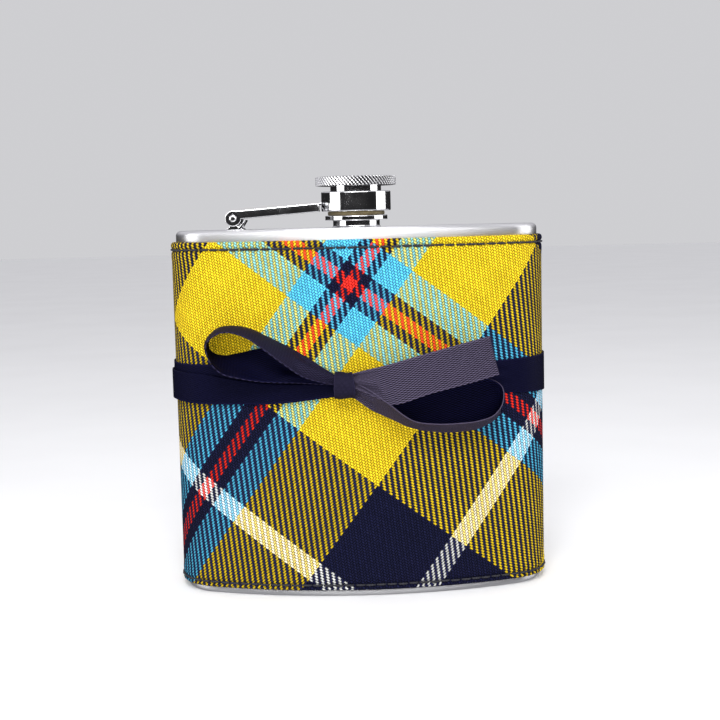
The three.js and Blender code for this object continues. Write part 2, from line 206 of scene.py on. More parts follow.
def rounded(corners, radius, steps=5):
    """A closed outline with its corners rounded. A corner may carry a radius of its own, third."""
    outline = []
    for i, corner in enumerate(corners):
        here = np.array(corner[:2], float)
        before = np.array(corners[i - 1][:2], float) - here
        after = np.array(corners[(i + 1) % len(corners)][:2], float) - here
        reach = 0.45 * min(np.linalg.norm(before), np.linalg.norm(after))
        before /= np.linalg.norm(before)
        after /= np.linalg.norm(after)
        wanted = corner[2] if len(corner) > 2 else radius
        half = math.acos(max(-1, min(1, float(before @ after)))) / 2
        cut = min(wanted / math.tan(half), reach)
        if wanted == 0 or cut < 1e-4:
            outline.append(tuple(here))
            continue
        bend = cut * math.tan(half)
        centre = here + (before + after) / np.linalg.norm(before + after) * (bend / math.sin(half))
        start = here + before * cut
        end = here + after * cut
        outline.append(tuple(start + before * 0.25 * cut))
        for step in range(steps + 1):
            ray = start + (end - start) * step / steps - centre
            outline.append(tuple(centre + ray / np.linalg.norm(ray) * bend))
        outline.append(tuple(end + after * 0.25 * cut))
    return outline


def polar(radius, angle, height):
    return (radius * math.cos(angle), radius * math.sin(angle), height)


def turned(profile, segments=96):
    """A turned piece on an upright axis. The profile is a closed outline of (radius, height)."""
    angles = [2 * math.pi * i / segments for i in range(segments)]
    rings = [[polar(radius, angle, height) for radius, height in profile] for angle in angles]
    return skin(rings, joined_ends=True)


def turned_along_y(profile, segments, x, z):
    """A turned piece on an axis along Y. The profile is a closed outline of (radius, y)."""
    points, faces = turned(profile, segments)
    return [(x + a, c, z + b) for a, b, c in points], faces


def extruded_along_y(outline, from_y, to_y):
    """A prism. The outline is of (x, z)."""
    size = len(outline)
    points = [(x, from_y, z) for x, z in outline] + [(x, to_y, z) for x, z in outline]
    faces = [tuple(range(size)), tuple(range(2 * size - 1, size - 1, -1))]
    faces += [(i, size + i, size + (i + 1) % size, (i + 1) % size) for i in range(size)]
    return points, faces


def cut_away(made, *shapes):
    """Cuts solids, each as (points, faces), from an object."""
    for shape in shapes:
        cutter = mesh_object("cutter", *shape)
        cut = made.modifiers.new("cut", "BOOLEAN")
        cut.operation = "DIFFERENCE"
        cut.solver = "EXACT"
        cut.object = cutter
        baked(made)
        bpy.data.objects.remove(cutter)
    return made


def softened(made, width):
    """Rounds an object's sharp edges."""
    bevel = made.modifiers.new("bevel", "BEVEL")
    bevel.width = width * MM
    bevel.segments = 3
    bevel.limit_method = "ANGLE"
    bevel.angle_limit = SHARP
    bevel.harden_normals = False
    weighted = made.modifiers.new("normals", "WEIGHTED_NORMAL")
    weighted.keep_sharp = True
    return baked(made)


def smooth_line(stations, steps):
    """A smooth line through stations of any number of coordinates, as centripetal Catmull-Rom."""
    known = np.array(stations, float)
    known = np.vstack([2 * known[0] - known[1], known, 2 * known[-1] - known[-2]])
    knots = [0.0]
    for gap in np.linalg.norm(np.diff(known, axis=0), axis=1):
        knots.append(knots[-1] + math.sqrt(gap))

    def between(items, k, span, t):
        return [
            items[j] * (k[j + span] - t) / (k[j + span] - k[j])
            + items[j + 1] * (t - k[j]) / (k[j + span] - k[j])
            for j in range(len(items) - 1)
        ]

    line = []
    for t in np.linspace(knots[1], knots[-2], steps + 1):
        i = int(np.clip(np.searchsorted(knots, t, side="right") - 1, 1, len(known) - 3))
        k = knots[i - 1:i + 3]
        first, second = between(between(known[i - 1:i + 3], k, 1, t), k, 2, t)
        line.append((first * (k[2] - t) + second * (t - k[1])) / (k[2] - k[1]))
    return np.array(line)


# ---- Materials ----

class Number:
    """A number that nodes work out, open to plain arithmetic."""

    def __init__(self, nodes, socket):
        self.nodes = nodes
        self.socket = socket

    def __add__(self, other):
        return self.nodes.math("ADD", self, other)

    def __sub__(self, other):
        return self.nodes.math("SUBTRACT", self, other)

    def __rsub__(self, other):
        return self.nodes.math("SUBTRACT", other, self)

    def __mul__(self, other):
        return self.nodes.math("MULTIPLY", self, other)


class Nodes:
    """Short ways to add nodes to a tree."""

    def __init__(self, tree):
        self.tree = tree

    def feed(self, socket, value):
        """Links what nodes work out, and sets what is constant."""
        if isinstance(value, Number):
            value = value.socket
        if isinstance(value, bpy.types.NodeSocket):
            self.tree.links.new(value, socket)
        elif socket.type == "RGBA":
            socket.default_value = (*value, 1)
        else:
            socket.default_value = value

    def add(self, kind, *values, **settings):
        """A node with its settings, and its inputs fed in order. None leaves an input alone."""
        node = self.tree.nodes.new("ShaderNode" + kind)
        for name, setting in settings.items():
            setattr(node, name, setting)
        for socket, value in zip(node.inputs, values):
            if value is not None:
                self.feed(socket, value)
        return node

    def number(self, kind, *values, **settings):
        return Number(self, self.add(kind, *values, **settings).outputs[0])

    def math(self, operation, *values):
        return self.number("Math", *values, operation=operation)

    def mix(self, share, first, second, blend="MIX"):
        node = self.add("Mix", share, data_type="RGBA", blend_type=blend)
        self.feed(node.inputs[6], first)
        self.feed(node.inputs[7], second)
        return node.outputs[2]

    def pick(self, choice, first, second):
        """The first number where choice is 0 and the second where it is 1."""
        return self.number("Mix", choice, None, first, second, data_type="FLOAT")

    def ramp(self, position, stops, interpolation="LINEAR"):
        """Colours along a position. Each stop is (where it starts, colour)."""
        node = self.add("ValToRGB", position)
        ramp = node.color_ramp
        ramp.interpolation = interpolation
        while len(ramp.elements) < len(stops):
            ramp.elements.new(0.5)
        for element, (start, colour) in zip(ramp.elements, stops):
            element.position = start
            element.color = (*colour, 1)
        return node.outputs[0]

    def spread(self, value, low, high, to_low=0.0, to_high=1.0):
        return self.number("MapRange", value, low, high, to_low, to_high)

    def wave(self, value, pitch):
        return self.math("SINE", value * (2 * math.pi / pitch))

    def place(self):
        return self.add("TexCoord").outputs["Object"]

    def cloth_place(self):
        """(across or along, height) from the piece's own map, in millimetres."""
        split = self.add("SeparateXYZ", self.add("UVMap", uv_map="cloth").outputs[0])
        return [self.math("MULTIPLY", split.outputs[i], 1 / MM) for i in range(2)]

    def scaled(self, vector, scale):
        return self.add("VectorMath", vector, scale, operation="MULTIPLY").outputs[0]

    def size_of(self, vector):
        return Number(self, self.add("VectorMath", vector, operation="LENGTH").outputs["Value"])

    def point(self, x, y, z=0.0):
        return self.add("CombineXYZ", x, y, z).outputs[0]

    def brightness(self, colour):
        return self.number("RGBToBW", colour)

    def noise(self, vector, scale=1.0, detail=2.0, rough=0.5):
        return self.number("TexNoise", vector, None, scale, detail, rough)

    def shaded(self, colour, level):
        return self.mix(1.0, colour, self.point(level, level, level), "MULTIPLY")


class Shader(Nodes):
    """A Principled material."""

    def __init__(self, name, colour, roughness, metallic=0.0):
        self.material = bpy.data.materials.new(name)
        self.material.use_nodes = True
        super().__init__(self.material.node_tree)
        self.surface = next(n for n in self.tree.nodes if n.type == "BSDF_PRINCIPLED")
        self.set("Base Color", colour)
        self.set("Roughness", roughness)
        self.set("Metallic", metallic)

    def set(self, socket, value):
        self.feed(self.surface.inputs[socket], value)

    def paint(self, colour, level):
        """The base colour, darker or lighter by a level."""
        self.set("Base Color", self.shaded(colour, level))

    def relief(self, height, depth, strength=1.0):
        """Bumps of a depth in millimetres."""
        self.set("Normal", self.add("Bump", strength, depth * MM, None, height).outputs[0])


YELLOW = (0.84, 0.59, 0.018)
NAVY_BLACK = (0.0105, 0.0120, 0.048)
SKY = (0.10, 0.56, 0.86)
RED = (0.92, 0.03, 0.02)
WHITE = (0.86, 0.87, 0.84)

BIAS = math.radians(53.2)  # how far the cloth is turned from upright before it is cut
WARP_PITCH = 0.521
WEFT_PITCH = 0.491
WARP_PIVOT = 61.9  # where the middle thread of the red stripe lies, along each direction
WEFT_PIVOT = -49.1
SETT = [(RED, 3), (NAVY_BLACK, 5), (SKY, 14), (YELLOW, 49), (NAVY_BLACK, 47), (WHITE, 5)]
HALF_SETT = float(sum(threads for _, threads in SETT))
TWILL = 4.0  # threads in one repeat of the weave: over two, under two
SHOW_THROUGH = 0.34  # share of the thread below that tints the thread above, where both are bright
# painted shade: a thread crossing dark ones is painted this much darker, for the light they don't bounce onto
# it
SHADE_BESIDE_DARK = 0.62  # how bright a thread looks that crosses dark ones


def thread_colours(shader, threads):
    """The colour of the warp thread and of the weft thread at a place, each thread dyed a little unevenly."""
    stops = []
    start = 0
    for colour, count in SETT:
        stops.append((start / HALF_SETT, colour))
        start += count
    colours = []
    for thread, draw in zip(threads, (0.37, 500.37)):
        folded = shader.math("PINGPONG", thread + 0.5, HALF_SETT)
        dyed = shader.ramp(shader.math("DIVIDE", folded, HALF_SETT), stops, "CONSTANT")
        shade = shader.noise(shader.point(thread + draw, 0.5), 1.0, 0.0)
        colours.append(shader.shaded(dyed, shader.spread(shade, 0.3, 0.7, 0.86, 1.08)))
    return colours


def tartan():
    """A 2/2 twill of coloured threads, with painted shade and highlight in its colour. The sett runs from a
    red pivot to a white one and back.
    """
    shader = Shader("tartan_wool", YELLOW, 0.86)
    along, height = shader.cloth_place()
    cosine, sine = math.cos(BIAS), math.sin(BIAS)
    numbers = [
        along * (-cosine / WARP_PITCH) + (height * (-sine / WARP_PITCH) + WARP_PIVOT / WARP_PITCH),
        along * (sine / WEFT_PITCH) + (height * (-cosine / WEFT_PITCH) + -WEFT_PIVOT / WEFT_PITCH),
    ]
    threads = [shader.math("FLOOR", number) for number in numbers]
    across = [shader.math("FRACT", number) for number in numbers]
    warp, weft = thread_colours(shader, threads)

    phase = shader.math("FLOORED_MODULO", threads[1] - threads[0], TWILL)
    weft_up = shader.math("GREATER_THAN", phase, TWILL / 2 - 0.5)
    warp_run = (phase + across[1]) * 0.5
    weft_run = (TWILL - 1 - phase + across[0]) * 0.5
    run = shader.pick(weft_up, warp_run, weft_run)
    side = shader.pick(weft_up, *across)

    def arch(value, power):
        wave = shader.math("SINE", value * math.pi)
        return shader.math("POWER", shader.math("MAXIMUM", wave, 0.0), power)

    plies = shader.math("ABSOLUTE", shader.math("FRACT", run * 2.6 + side) - 0.5)
    fibre = shader.noise(shader.point(along, height), 9.0)
    relief = fibre * 0.35 + (plies * 0.22 + arch(side, 0.45) * arch(run, 0.7))

    below = shader.mix(0.5, shader.mix(weft_up, weft, warp), shader.mix(1.0, warp, weft, "DARKEN"))
    fuzz = SHOW_THROUGH
    for dyed in (warp, weft):
        fuzz = shader.spread(shader.brightness(dyed), 0.05, 0.45) * fuzz
    colour = shader.mix(fuzz, shader.mix(weft_up, warp, weft), below)
    # painted shade and highlight: weft floats painted darker and warp floats lighter, for how the light falls
    # along each
    lean = shader.spread(weft_up, 0.0, 1.0, 1.06, 0.88)
    # painted shade on threads beside dark ones
    painted_bounce_shade = shader.spread(shader.brightness(below), 0.02, 0.2, SHADE_BESIDE_DARK, 1.02)
    # painted shade in the valleys between threads and painted highlight on their tops, from the relief
    painted_weave_shading = shader.spread(relief, 0.3, 1.2, 0.16, 1.30)
    patchy = shader.spread(shader.noise(shader.point(along, height), 0.09), 0.3, 0.7, 0.93, 1.05)
    shader.paint(colour, painted_weave_shading * patchy * (lean * painted_bounce_shade))
    shader.set("Specular IOR Level", 0.06)
    shader.relief(relief, 0.24)
    return shader.material


def plain_cloth(name, colour, pitch):
    """A plain weave of fine threads."""
    shader = Shader(name, colour, 0.9)
    along, height = shader.cloth_place()
    weave = shader.wave(along, pitch) * shader.wave(height, pitch)
    fibre = shader.noise(shader.point(along, height), 4.0)
    # partly painted shade: darker between the threads of the weave; the fibre noise is random tone
    level = shader.spread(weave * 0.3 + fibre, 0.2, 0.9, 0.6, 1.25)
    shader.paint(colour, level)
    shader.set("Sheen Weight", 0.2)
    shader.relief(weave, 0.05, 0.6)
    return shader.material


def sewing_thread():
    """Two plies of dark cotton, twisted."""
    shader = Shader("dark_thread", (0.008, 0.008, 0.012), 0.75)
    along, height = shader.cloth_place()
    ply = shader.math("SINE", along * 9.0 + height * 14.0)
    fuzz = shader.noise(shader.place(), 2500.0)
    # partly painted shade: darker in the grooves between the plies; the fuzz is random tone
    level = shader.spread(ply * 0.25 + fuzz, 0.1, 0.9, 0.5, 1.6)
    shader.paint((0.010, 0.010, 0.016), level)
    shader.relief(ply, 0.05, 0.7)
    return shader.material


RIB_PITCH = 0.56
FLOAT_LENGTH = 1.5
SELVAGE = 0.5
BACK_SHIFT = 40.0  # the ribbon's back lies this far across on its map


def ribbon_satin(name, face, back, roughness, painted_float_shade):
    """Staggered floats that run along a ribbon, with a firmer woven edge on each side. The colour carries
    painted shade and highlight along the floats and a painted highlight along each edge.
    """
    shader = Shader(name, face, roughness)
    across, along = shader.cloth_place()
    on_back = shader.math("GREATER_THAN", across, BACK_SHIFT / 2)
    across = across - on_back * BACK_SHIFT
    floats = shader.wave(across, RIB_PITCH) * shader.wave(along, FLOAT_LENGTH)
    grain = shader.noise(shader.point(across * 6.0, along * 0.8))
    off_middle = shader.math("ABSOLUTE", across - RIBBON_WIDTH / 2)
    edge = shader.spread(off_middle, RIBBON_WIDTH / 2 - SELVAGE, RIBBON_WIDTH / 2 - SELVAGE / 2)
    # painted highlight along each woven edge, painted shade and highlight along the floats, and random grain
    # tone
    level = edge * 0.6 + (floats * painted_float_shade + shader.spread(grain, 0.3, 0.7, 0.85, 1.15))
    level = shader.math("MAXIMUM", level, 0.1)
    shader.paint(shader.mix(on_back, face, back), level)
    shader.set("Roughness", shader.spread(grain, 0.3, 0.7, roughness - 0.05, roughness + 0.07))
    shader.set("Specular IOR Level", 0.02)
    shader.relief(floats + edge, 0.04, 0.7)
    return shader.material


def brushed_steel():
    """Fine level brushing, with a few deeper lines."""
    shader = Shader("brushed_steel", (0.62, 0.62, 0.63), 0.3, 1.0)
    fine = shader.noise(shader.scaled(shader.place(), (60, 60, 9000)), 1.0, 3.0, 0.6)
    deep = shader.noise(shader.scaled(shader.place(), (25, 25, 2500)))
    smudge = shader.noise(shader.place(), 60.0, 3.0)
    lines = deep * 0.5 + fine
    shader.set("Roughness", shader.spread(smudge, 0.3, 0.7, 0.40, 0.50))
    shader.paint((0.64, 0.64, 0.65), shader.spread(lines, 0.4, 1.1, 0.9, 1.06))
    shader.relief(lines, 0.012, 0.5)
    shader.set("Anisotropic", 0.8)
    shader.set("Anisotropic Rotation", 0.25)
    return shader.material


POLISH = (0.78, 0.78, 0.79)


def polished_steel():
    """Bright polish with faint marks."""
    shader = Shader("polished_steel", POLISH, 0.08, 1.0)
    smudge = shader.noise(shader.place(), 180.0, 4.0, 0.6)
    marks = shader.noise(shader.scaled(shader.place(), (900, 900, 5200)), 1.0, 2.0, 0.7)
    shader.set("Roughness", shader.spread(smudge, 0.35, 0.7, 0.05, 0.13))
    shader.paint(POLISH, shader.spread(smudge, 0.3, 0.75, 0.97, 1.02))
    shader.relief(marks, 0.004, 0.25)
    return shader.material


def knurled_steel():
    """Polished steel whose colour is darkened in the grooves of the knob's edge as painted shade."""
    shader = Shader("knurled_steel", POLISH, 0.16, 1.0)
    radius = shader.size_of(shader.scaled(shader.place(), (1, 1, 0)))
    deepest = (KNOB_RADIUS - KNURL_DEPTHS[0]) * MM
    # painted shade: darkest at the bottom of each groove, full brightness towards the ridges
    painted_groove_shade = shader.spread(radius, deepest + 0.07 * MM, deepest + 0.27 * MM, 0.03, 1.0)
    on_edge = shader.math("GREATER_THAN", radius, deepest - 0.04 * MM)
    shader.paint((0.80, 0.80, 0.81), shader.pick(on_edge, 1.0, painted_groove_shade))
    return shader.material


def cream_rubber():
    shader = Shader("cream_rubber", (0.62, 0.55, 0.38), 0.5)
    mottle = shader.noise(shader.place(), 900.0, 3.0)
    # painted shade: both mottled colours are set far darker than the cream rubber, for the shade under the
    # collar's overhang
    colour = shader.mix(shader.spread(mottle, 0.3, 0.7), (0.10, 0.075, 0.03), (0.17, 0.13, 0.055))
    shader.set("Base Color", colour)
    shader.set("Subsurface Weight", 0.15)
    shader.set("Subsurface Radius", (0.0012, 0.0009, 0.0005))
    shader.set("Subsurface Scale", 1.0)
    shader.relief(mottle, 0.02, 0.4)
    return shader.material


def floor_paint():
    shader = Shader("pale_floor", (0.93, 0.93, 0.94), 0.9)
    grain = shader.spread(shader.noise(shader.place(), 14.0, 3.0), 0.3, 0.7)
    shader.set("Base Color", shader.mix(grain, (0.92, 0.92, 0.93), (0.95, 0.95, 0.96)))
    return shader.material


# ---- Steel body ----

def rim_levels(outward):
    """(distance, rise from the plate's face) over the rounded rim, down the skirt and back inside."""
    levels = []
    steps = 8
    for step in range(steps + 1):
        angle = math.pi / 2 * step / steps
        levels.append((
            STEEL_HALF - RIM_RADIUS * (1 - math.sin(angle)),
            RIM_RADIUS * (1 - math.cos(angle)),
        ))
    levels += [(STEEL_HALF, RIM_RADIUS + 0.15), (STEEL_HALF, SKIRT - 0.1), (STEEL_HALF - 0.1, SKIRT)]
    inner = STEEL_HALF - WALL
    levels += [(inner + 0.1, SKIRT), (inner, SKIRT - 0.1), (inner, RIM_RADIUS)]
    levels += [(inner - RIM_RADIUS + PLATE, PLATE)]
    return [(distance, -outward * depth) for distance, depth in levels]


def end_plate(name, face, outward, hole_radius):
    """A pressed plate with a rounded rim. A plate with no hole closes at its middle."""
    stations = alongs(0.7)
    rings = [
        [place(along, distance, face + rise) for along in stations]
        for distance, rise in rim_levels(outward)
    ]

    def towards_middle(ring, share):
        moved = []
        for x, y, z in ring:
            still = hole_radius / math.hypot(x, y)
            moved.append((x + (still * x - x) * share, y + (still * y - y) * share, z))
        return moved

    shares = (1.0, 0.97, 0.8, 0.5, 0.25, 0.05)
    outside = [towards_middle(rings[0], share) for share in shares]
    inside = [towards_middle(rings[-1], share) for share in reversed(shares)]
    return mesh_object(name, *skin(outside + rings + inside, joined_ends=hole_radius > 0))


def body_tube():
    """The wall of the tube, behind the sleeve."""
    bottom, top = SKIRT + 0.1, BODY_HEIGHT - SKIRT - 0.1
    outer, inner = STEEL_HALF, STEEL_HALF - WALL
    outline = rounded([(outer, bottom), (outer, top), (inner, top), (inner, bottom)], 0.12, 3)
    return mesh_object("steel_tube", *round_flask(outline, 0.9))


# ---- Neck and cap: heights here are above the top plate ----

NECK_RADIUS = 5.9
NECK_HEIGHT = 1.85
FLANGE_RADIUS = 7.85
FLANGE_TOP = 3.0
THREAD_CREST = 5.55
THREAD_ROOT = 5.1
THREAD_PITCH = 1.25
SPOUT_TOP = 7.0
SPOUT_BORE = 4.2
SPIGOT_RADIUS = 4.8
SPIGOT_DEPTH = 1.2
GASKET_RADIUS = 7.2

CAP_BORE = 5.85
BARREL_RADIUS = 6.4
BARREL_BOTTOM = 4.2
BARREL_TOP = 10.4
BARREL_FLANGE_RADIUS = 7.6
BARREL_FLANGE = 0.9
KNOB_RADIUS = 10.15
KNOB_TOP = 12.7
KNURLS = 68
KNURL_DEPTHS = (0.4, 0.13)  # of the two families of grooves
SEAL_BOTTOM = 7.1
SEAL_TOP = 7.9

COLLAR_RADIUS = 8.75
COLLAR_BOTTOM = 4.1
COLLAR_TOP = 9.0
COLLAR_LIP = 0.6
COLLAR_COUNTERBORE = 7.8
COLLAR_LIP_BORE = 6.6


def on_plate(name, shape):
    """An object made of a shape whose heights are above the top plate."""
    points, faces = shape
    return mesh_object(name, [(x, y, z + BODY_HEIGHT) for x, y, z in points], faces)


def spiral_ridge(root, crest, bottom, turns, width):
    """A screw thread's ridge on an upright axis, tapered at both ends."""
    rings = []
    steps = round(72 * turns)
    tapered = 14
    for step in range(steps + 1):
        angle = 2 * math.pi * turns * step / steps
        rise = bottom + THREAD_PITCH * turns * step / steps
        top = root + (crest - root) * min(1.0, step / tapered, (steps - step) / tapered)
        half = width / 2
        section = [(root - 0.15, -half), (top, -half * 0.3), (top, half * 0.3), (root - 0.15, half)]
        rings.append([polar(radius, angle, rise + h) for radius, h in section])
    return tube(rings)


def spout():
    profile = [
        (SPOUT_BORE, -SPIGOT_DEPTH), (SPIGOT_RADIUS, -SPIGOT_DEPTH), (SPIGOT_RADIUS, 0.02),
        (NECK_RADIUS + 0.35, 0.02, 0.05), (NECK_RADIUS, 0.4, 0.3), (NECK_RADIUS, NECK_HEIGHT, 0.15),
        (FLANGE_RADIUS, NECK_HEIGHT, 0.14), (FLANGE_RADIUS, FLANGE_TOP, 0.22),
        (THREAD_ROOT, FLANGE_TOP, 0.1), (THREAD_ROOT, SPOUT_TOP, 0.3), (SPOUT_BORE, SPOUT_TOP, 0.3),
    ]
    ridge = spiral_ridge(THREAD_ROOT, THREAD_CREST, FLANGE_TOP + 0.75, 2.2, 0.8)
    return on_plate("spout_neck", joined(turned(rounded(profile, 0.1)), ridge))


def gasket():
    profile = [
        (THREAD_CREST + 0.1, FLANGE_TOP + 0.03),
        (GASKET_RADIUS - 0.12, FLANGE_TOP + 0.03),
        (GASKET_RADIUS, (FLANGE_TOP + COLLAR_BOTTOM) / 2),
        (GASKET_RADIUS - 0.12, COLLAR_BOTTOM - 0.06),
        (THREAD_CREST + 0.1, COLLAR_BOTTOM - 0.06),
    ]
    return on_plate("neck_gasket", turned(rounded(profile, 0.2)))


def collar():
    profile = [
        (COLLAR_COUNTERBORE, COLLAR_BOTTOM, 0.08), (COLLAR_RADIUS, COLLAR_BOTTOM, 0.3),
        (COLLAR_RADIUS, COLLAR_TOP, 0.3), (COLLAR_LIP_BORE, COLLAR_TOP, 0.12),
        (COLLAR_LIP_BORE, COLLAR_TOP - COLLAR_LIP, 0.08),
        (COLLAR_COUNTERBORE, COLLAR_TOP - COLLAR_LIP, 0.1),
    ]
    return on_plate("cap_collar", turned(rounded(profile, 0.1), 128))


def barrel():
    inside_top = SEAL_TOP + 0.1
    profile = [
        (CAP_BORE, BARREL_BOTTOM), (BARREL_FLANGE_RADIUS, BARREL_BOTTOM, 0.15),
        (BARREL_FLANGE_RADIUS, BARREL_BOTTOM + BARREL_FLANGE, 0.15),
        (BARREL_RADIUS, BARREL_BOTTOM + BARREL_FLANGE, 0.1), (BARREL_RADIUS, BARREL_TOP, 0.05),
        (0, BARREL_TOP, 0), (0, inside_top, 0), (CAP_BORE, inside_top, 0.2),
    ]
    return on_plate("cap_stem", turned(rounded(profile, 0.1)))


def knurled_rim(around):
    """The knob's edge, cut by deep slanting grooves and by shallow ones that cross them."""
    bottom, top = BARREL_TOP + 0.1, KNOB_TOP - 0.1
    rows = 24
    lean = 0.9 * KNURLS / (2 * math.pi * KNOB_RADIUS)
    rings = []
    for row in range(rows + 1):
        height = bottom + (top - bottom) * row / rows
        ring = []
        for i in range(around):
            cut = 0.0
            for way, depth in zip((1, -1), KNURL_DEPTHS):
                ridge = abs(2 * ((KNURLS * i / around + way * lean * height) % 1.0) - 1)
                cut = max(cut, depth * (1 - ridge))
            ring.append(polar(KNOB_RADIUS - cut, 2 * math.pi * i / around, height))
        rings.append(ring)
    return rings


def knob():
    """A flat knob: the knurled edge, bevelled rims, and a face that is turned slightly hollow."""
    around = KNURLS * 10
    hollow = 0.16
    underside = [(0.0, 0.0), (5.6, 0.0), (9.2, 0.0), (9.5, 0.0), (9.66, 0.02)]
    face = [(9.66, 0.02), (9.5, 0.0), (9.0, 0.0), (8.7, 0.03), (8.5, 0.1), (8.2, 0.13), (0.4, hollow)]
    face.append((0.0, hollow))

    def circle(radius, height):
        return [polar(radius, 2 * math.pi * i / around, height) for i in range(around)]

    rings = [circle(radius, BARREL_TOP + rise) for radius, rise in underside]
    rings += knurled_rim(around)
    rings += [circle(radius, KNOB_TOP - sink) for radius, sink in face]
    return on_plate("cap_knob_knurled", skin(rings))


def seal():
    radius = CAP_BORE - 0.25
    profile = [(0, SEAL_BOTTOM, 0), (radius, SEAL_BOTTOM), (radius, SEAL_TOP), (0, SEAL_TOP, 0)]
    return on_plate("cap_seal_disc", turned(rounded(profile, 0.15), 64))


# ---- Hinge ----

LUG_RADIUS = 2.0
PIN_RADIUS = 0.7
PIN_HOLE = 0.78
PIN_HEAD_RADIUS = 0.88
ARM_HALF = 5.0
ARM_SHEET = 0.6
ARM_TILT = math.radians(4)
ARM_TOP = 1.85
ARM_BOTTOM = -0.3
ARM_REACH = 21.6
TONGUE_HALF = 2.5
KNUCKLE_RADIUS = 1.7
KNUCKLE_HALF = 4.2
FOLD_RADIUS = 0.26
ARM_EDGE = 0.24  # rounding of the side wall's edges


def circle_points(radius, start, end, steps):
    angles = [start + (end - start) * step / steps for step in range(steps + 1)]
    return [(radius * math.cos(angle), radius * math.sin(angle)) for angle in angles]


def arm_side_outline():
    """The side wall and its round lug, as (x, z) from the pin's axis."""
    top_angle = math.asin(ARM_TOP / LUG_RADIUS)
    bottom_angle = math.asin(ARM_BOTTOM / LUG_RADIUS)
    lug = circle_points(LUG_RADIUS, top_angle, 2 * math.pi + bottom_angle, 30)
    top_edge = [(x, ARM_TOP) for x in (ARM_REACH, 15.0, 8.0, 4.0, 3.0, 2.4, 1.6)]
    return lug + [(ARM_REACH, ARM_BOTTOM)] + top_edge


def inset(outline, amount):
    """A closed outline, anticlockwise, drawn in by an amount on all sides."""
    corners = np.array(outline)
    lefts = []
    for way in (corners - np.roll(corners, 1, axis=0), np.roll(corners, -1, axis=0) - corners):
        way = way / np.linalg.norm(way, axis=1)[:, None]
        lefts.append(np.stack([-way[:, 1], way[:, 0]], axis=1))
    mitre = lefts[0] + lefts[1]
    mitre /= (mitre * lefts[1]).sum(axis=1)[:, None]
    return corners + amount * mitre


def pin_bore(x, z):
    return turned_along_y([(0, -6), (PIN_HOLE, -6), (PIN_HOLE, 6), (0, 6)], 32, x, z)


def hinge_arm():
    """A folded channel, open below, with a lug on each side wall."""
    outline = arm_side_outline()
    levels = []
    steps = 10
    for step in range(steps + 1):
        angle = math.pi / 2 * step / steps
        y = ARM_HALF - FOLD_RADIUS * (1 - math.sin(angle))
        beyond = max(0.0, (y - ARM_HALF + ARM_EDGE) / ARM_EDGE)
        levels.append((y, FOLD_RADIUS * (1 - math.cos(angle)), ARM_EDGE * (1 - math.sqrt(1 - beyond ** 2))))
    levels = [(-y, drop, edge) for y, drop, edge in reversed(levels)] + levels
    fold_start, fold_run = 1.6, 1.4
    rings = []
    for y, drop, edge in levels:
        drop = max(0.0, drop - edge)
        ring = []
        for (x, z), (plain_x, plain_z) in zip(inset(outline, edge), outline):
            start = min(1.0, max(0.0, (plain_x - fold_start) / fold_run))
            on_top = plain_z > ARM_TOP - 0.01
            ring.append((x, y, z - drop * start if on_top else z))
        rings.append(ring)
    arm = mesh_object("hinge_arm_channel", *tube(rings))
    inner = ARM_HALF - ARM_SHEET
    roof, lugs_end, past_end = ARM_TOP - ARM_SHEET, 2.4, ARM_REACH + 1
    between_lugs = [(-3, -3), (lugs_end, -3), (lugs_end, 3), (-3, 3)]
    channel = [(lugs_end - 0.1, -3), (past_end, -3), (past_end, roof), (lugs_end - 0.1, roof)]
    cuts = [extruded_along_y(shape, -inner, inner) for shape in (between_lugs, channel)]
    cut_away(arm, *cuts, pin_bore(0, 0))
    arm.data.set_sharp_from_angle(angle=SHARP)
    return turn_arm(arm)


def tongue():
    """The narrow end of the arm's sheet, which is brazed to the collar."""
    start, reach = ARM_REACH - 3, -PIVOT_X - COLLAR_RADIUS + 0.25
    under, over = ARM_TOP - ARM_SHEET, ARM_TOP - 0.02
    corners = [(start, under), (reach, under), (reach, over), (start, over)]
    made = mesh_object("hinge_arm_tongue", *extruded_along_y(corners, -TONGUE_HALF, TONGUE_HALF))
    return turn_arm(softened(made, 0.1))


def turn_arm(made):
    """Turns a piece that was drawn level about the pin's axis, and puts it in its place."""
    tilt = Matrix.Rotation(-ARM_TILT, 4, "Y")
    made.data.transform(Matrix.Translation((PIVOT_X * MM, 0, PIVOT_Z * MM)) @ tilt)
    return made


def hinge_bracket():
    """A knuckle on a low foot that is brazed to the top plate, with a sloping lip to its right."""
    height = PIVOT_Z - BODY_HEIGHT
    neck = 0.85
    low = -math.acos(neck / KNUCKLE_RADIUS)
    knuckle = [(x, z + height) for x, z in circle_points(KNUCKLE_RADIUS, low, math.pi - low, 28)]
    lip = [(1.95, 0.4), (3.15, 2.3), (2.9, 2.5), (1.45, 0.8)]
    right = [(2.5, 0.0), (2.5, 0.25), *lip, (neck, 1.05)]
    left = [(-neck, 1.05), (-1.05, 0.75), (-1.35, 0.55), (-1.8, 0.42), (-1.8, 0.0)]
    outline = [(PIVOT_X + x, BODY_HEIGHT + z) for x, z in right + knuckle + left]
    bracket = mesh_object("hinge_knuckle", *extruded_along_y(outline, -KNUCKLE_HALF, KNUCKLE_HALF))
    return softened(cut_away(bracket, pin_bore(PIVOT_X, PIVOT_Z)), 0.12)


def hinge_pin():
    """A rivet with a low domed head at each end."""
    face = ARM_HALF + 0.03
    head = [
        (PIN_RADIUS, face, 0.04), (PIN_HEAD_RADIUS, face, 0.04),
        (PIN_HEAD_RADIUS, face + 0.14, 0.2), (0.55, face + 0.42, 0.3), (0, face + 0.42, 0),
    ]
    profile = [(radius, -y, bend) for radius, y, bend in reversed(head)] + head
    return mesh_object("hinge_rivet", *turned_along_y(rounded(profile, 0.1), 40, PIVOT_X, PIVOT_Z))


# ---- Cloth sleeve ----

